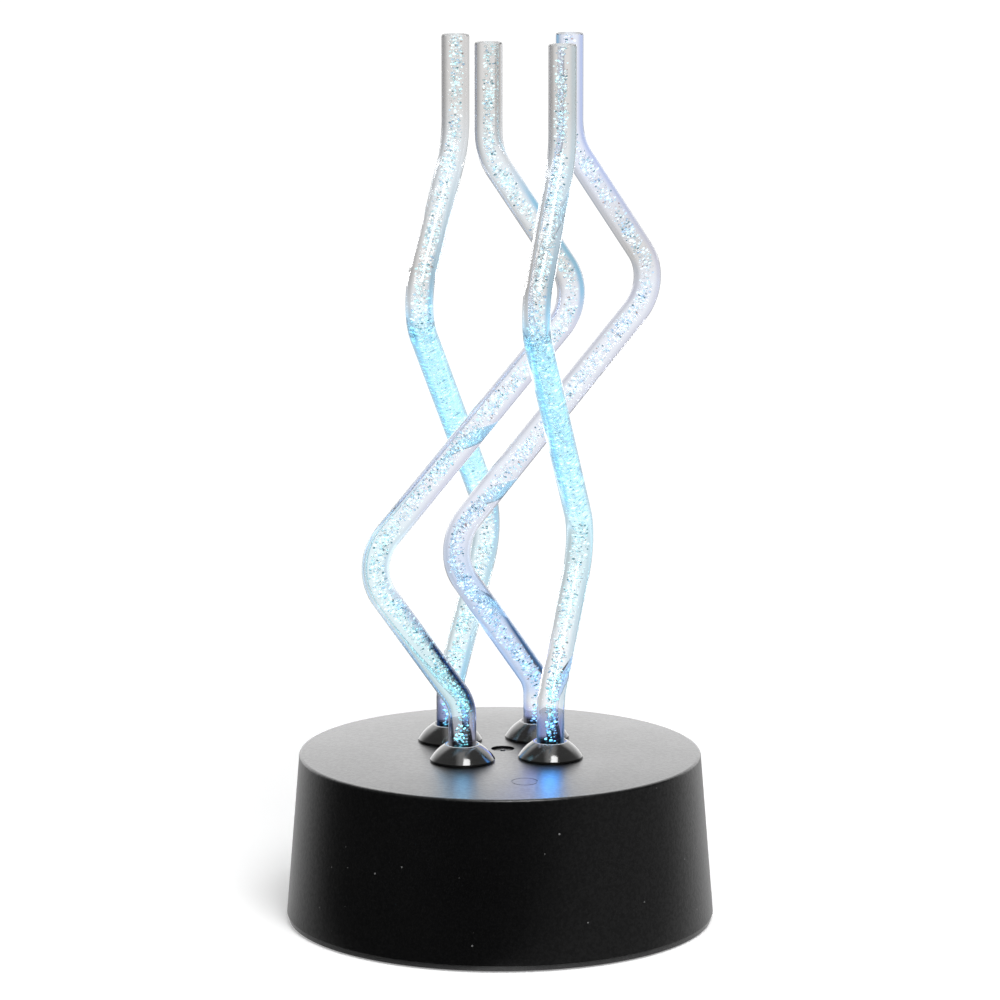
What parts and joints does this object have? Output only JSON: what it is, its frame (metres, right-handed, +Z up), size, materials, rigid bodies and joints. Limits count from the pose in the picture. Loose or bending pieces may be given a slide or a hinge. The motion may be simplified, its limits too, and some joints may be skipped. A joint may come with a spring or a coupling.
{
  "type": "fiber optic lamp",
  "caption": "Table lamp of bent clear bubble-filled acrylic rods that rise in a loose twist from a round black battery base and are lit from below.",
  "frame": {"origin": "middle of the round base, on the plane that the rubber feet stand on", "axes": "+Z up along the base's axis, +Y to the back, where the button and the power inlet are, +X to the right seen from the front"},
  "size_m": [0.155, 0.155, 0.3207],
  "materials": {
    "matte_black_plastic": "fine moulded texture, black",
    "gloss_black_plastic": "polished black",
    "clear_acrylic": "polished clear acrylic full of small bubbles",
    "nut_plastic": "black moulded nut",
    "circuit_board": "green solder mask",
    "led_epoxy": "clear lens",
    "cell_jacket": "plain printed sleeve over a steel can",
    "nickel_plated_steel": "nickel plate",
    "component_black": "moulded black",
    "plunger_plastic": "moulded white",
    "button_plastic": "satin black",
    "capacitor_sleeve": "shrunk sleeve over an aluminium can",
    "lead_jacket_red": "soft red jacket",
    "lead_jacket_black": "soft black jacket",
    "lead_jacket_grey": "soft grey jacket",
    "zinc_plated_steel": "zinc plate",
    "foot_rubber": "matte rubber"
  },
  "bodies": {
    "base": {"base_shell": "matte_black_plastic", "battery_cell_back": "cell_jacket", "battery_cell_front": "cell_jacket", "battery_cell_middle": "cell_jacket", "battery_lead_negative": "lead_jacket_black", "battery_lead_positive": "lead_jacket_red", "bottom_cover": "matte_black_plastic", "capacitor": "capacitor_sleeve", "collar_back_left": "gloss_black_plastic", "collar_back_right": "gloss_black_plastic", "collar_front_left": "gloss_black_plastic", "collar_front_right": "gloss_black_plastic", "collar_nuts": "nut_plastic", "contact_bridge_back": "nickel_plated_steel", "contact_bridge_front": "nickel_plated_steel", "contact_negative": "nickel_plated_steel", "contact_positive": "nickel_plated_steel", "control_board": "circuit_board", "control_board_screws": "zinc_plated_steel", "controller_chip": "component_black", "cover_screws": "zinc_plated_steel", "foot_back": "foot_rubber", "foot_front": "foot_rubber", "foot_left": "foot_rubber", "foot_right": "foot_rubber", "led_back_left": "led_epoxy", "led_back_right": "led_epoxy", "led_board": "circuit_board", "led_board_screws": "zinc_plated_steel", "led_front_left": "led_epoxy", "led_front_right": "led_epoxy", "led_leads": "lead_jacket_grey", "power_inlet": "component_black", "rod_back_left": "clear_acrylic", "rod_back_right": "clear_acrylic", "rod_front_left": "clear_acrylic", "rod_front_right": "clear_acrylic", "switch_body": "component_black"},
    "button": {"power_button": "button_plastic", "switch_plunger": "plunger_plastic"},
    "door": {"battery_door": "matte_black_plastic"}
  },
  "joints": [
    {"name": "power_button_press", "type": "slide", "parent": "base", "child": "button", "axis": [0, -1, 0], "range_m": [0, 0.0015], "stiffness_N_per_m": 1200, "springref_m": -0.0006},
    {"name": "battery_door_swing", "type": "hinge", "parent": "base", "child": "door", "pos_m": [-0.02985, 0, 0.0012], "axis": [0, 1, 0], "range_deg": [0, 55]}
  ]
}
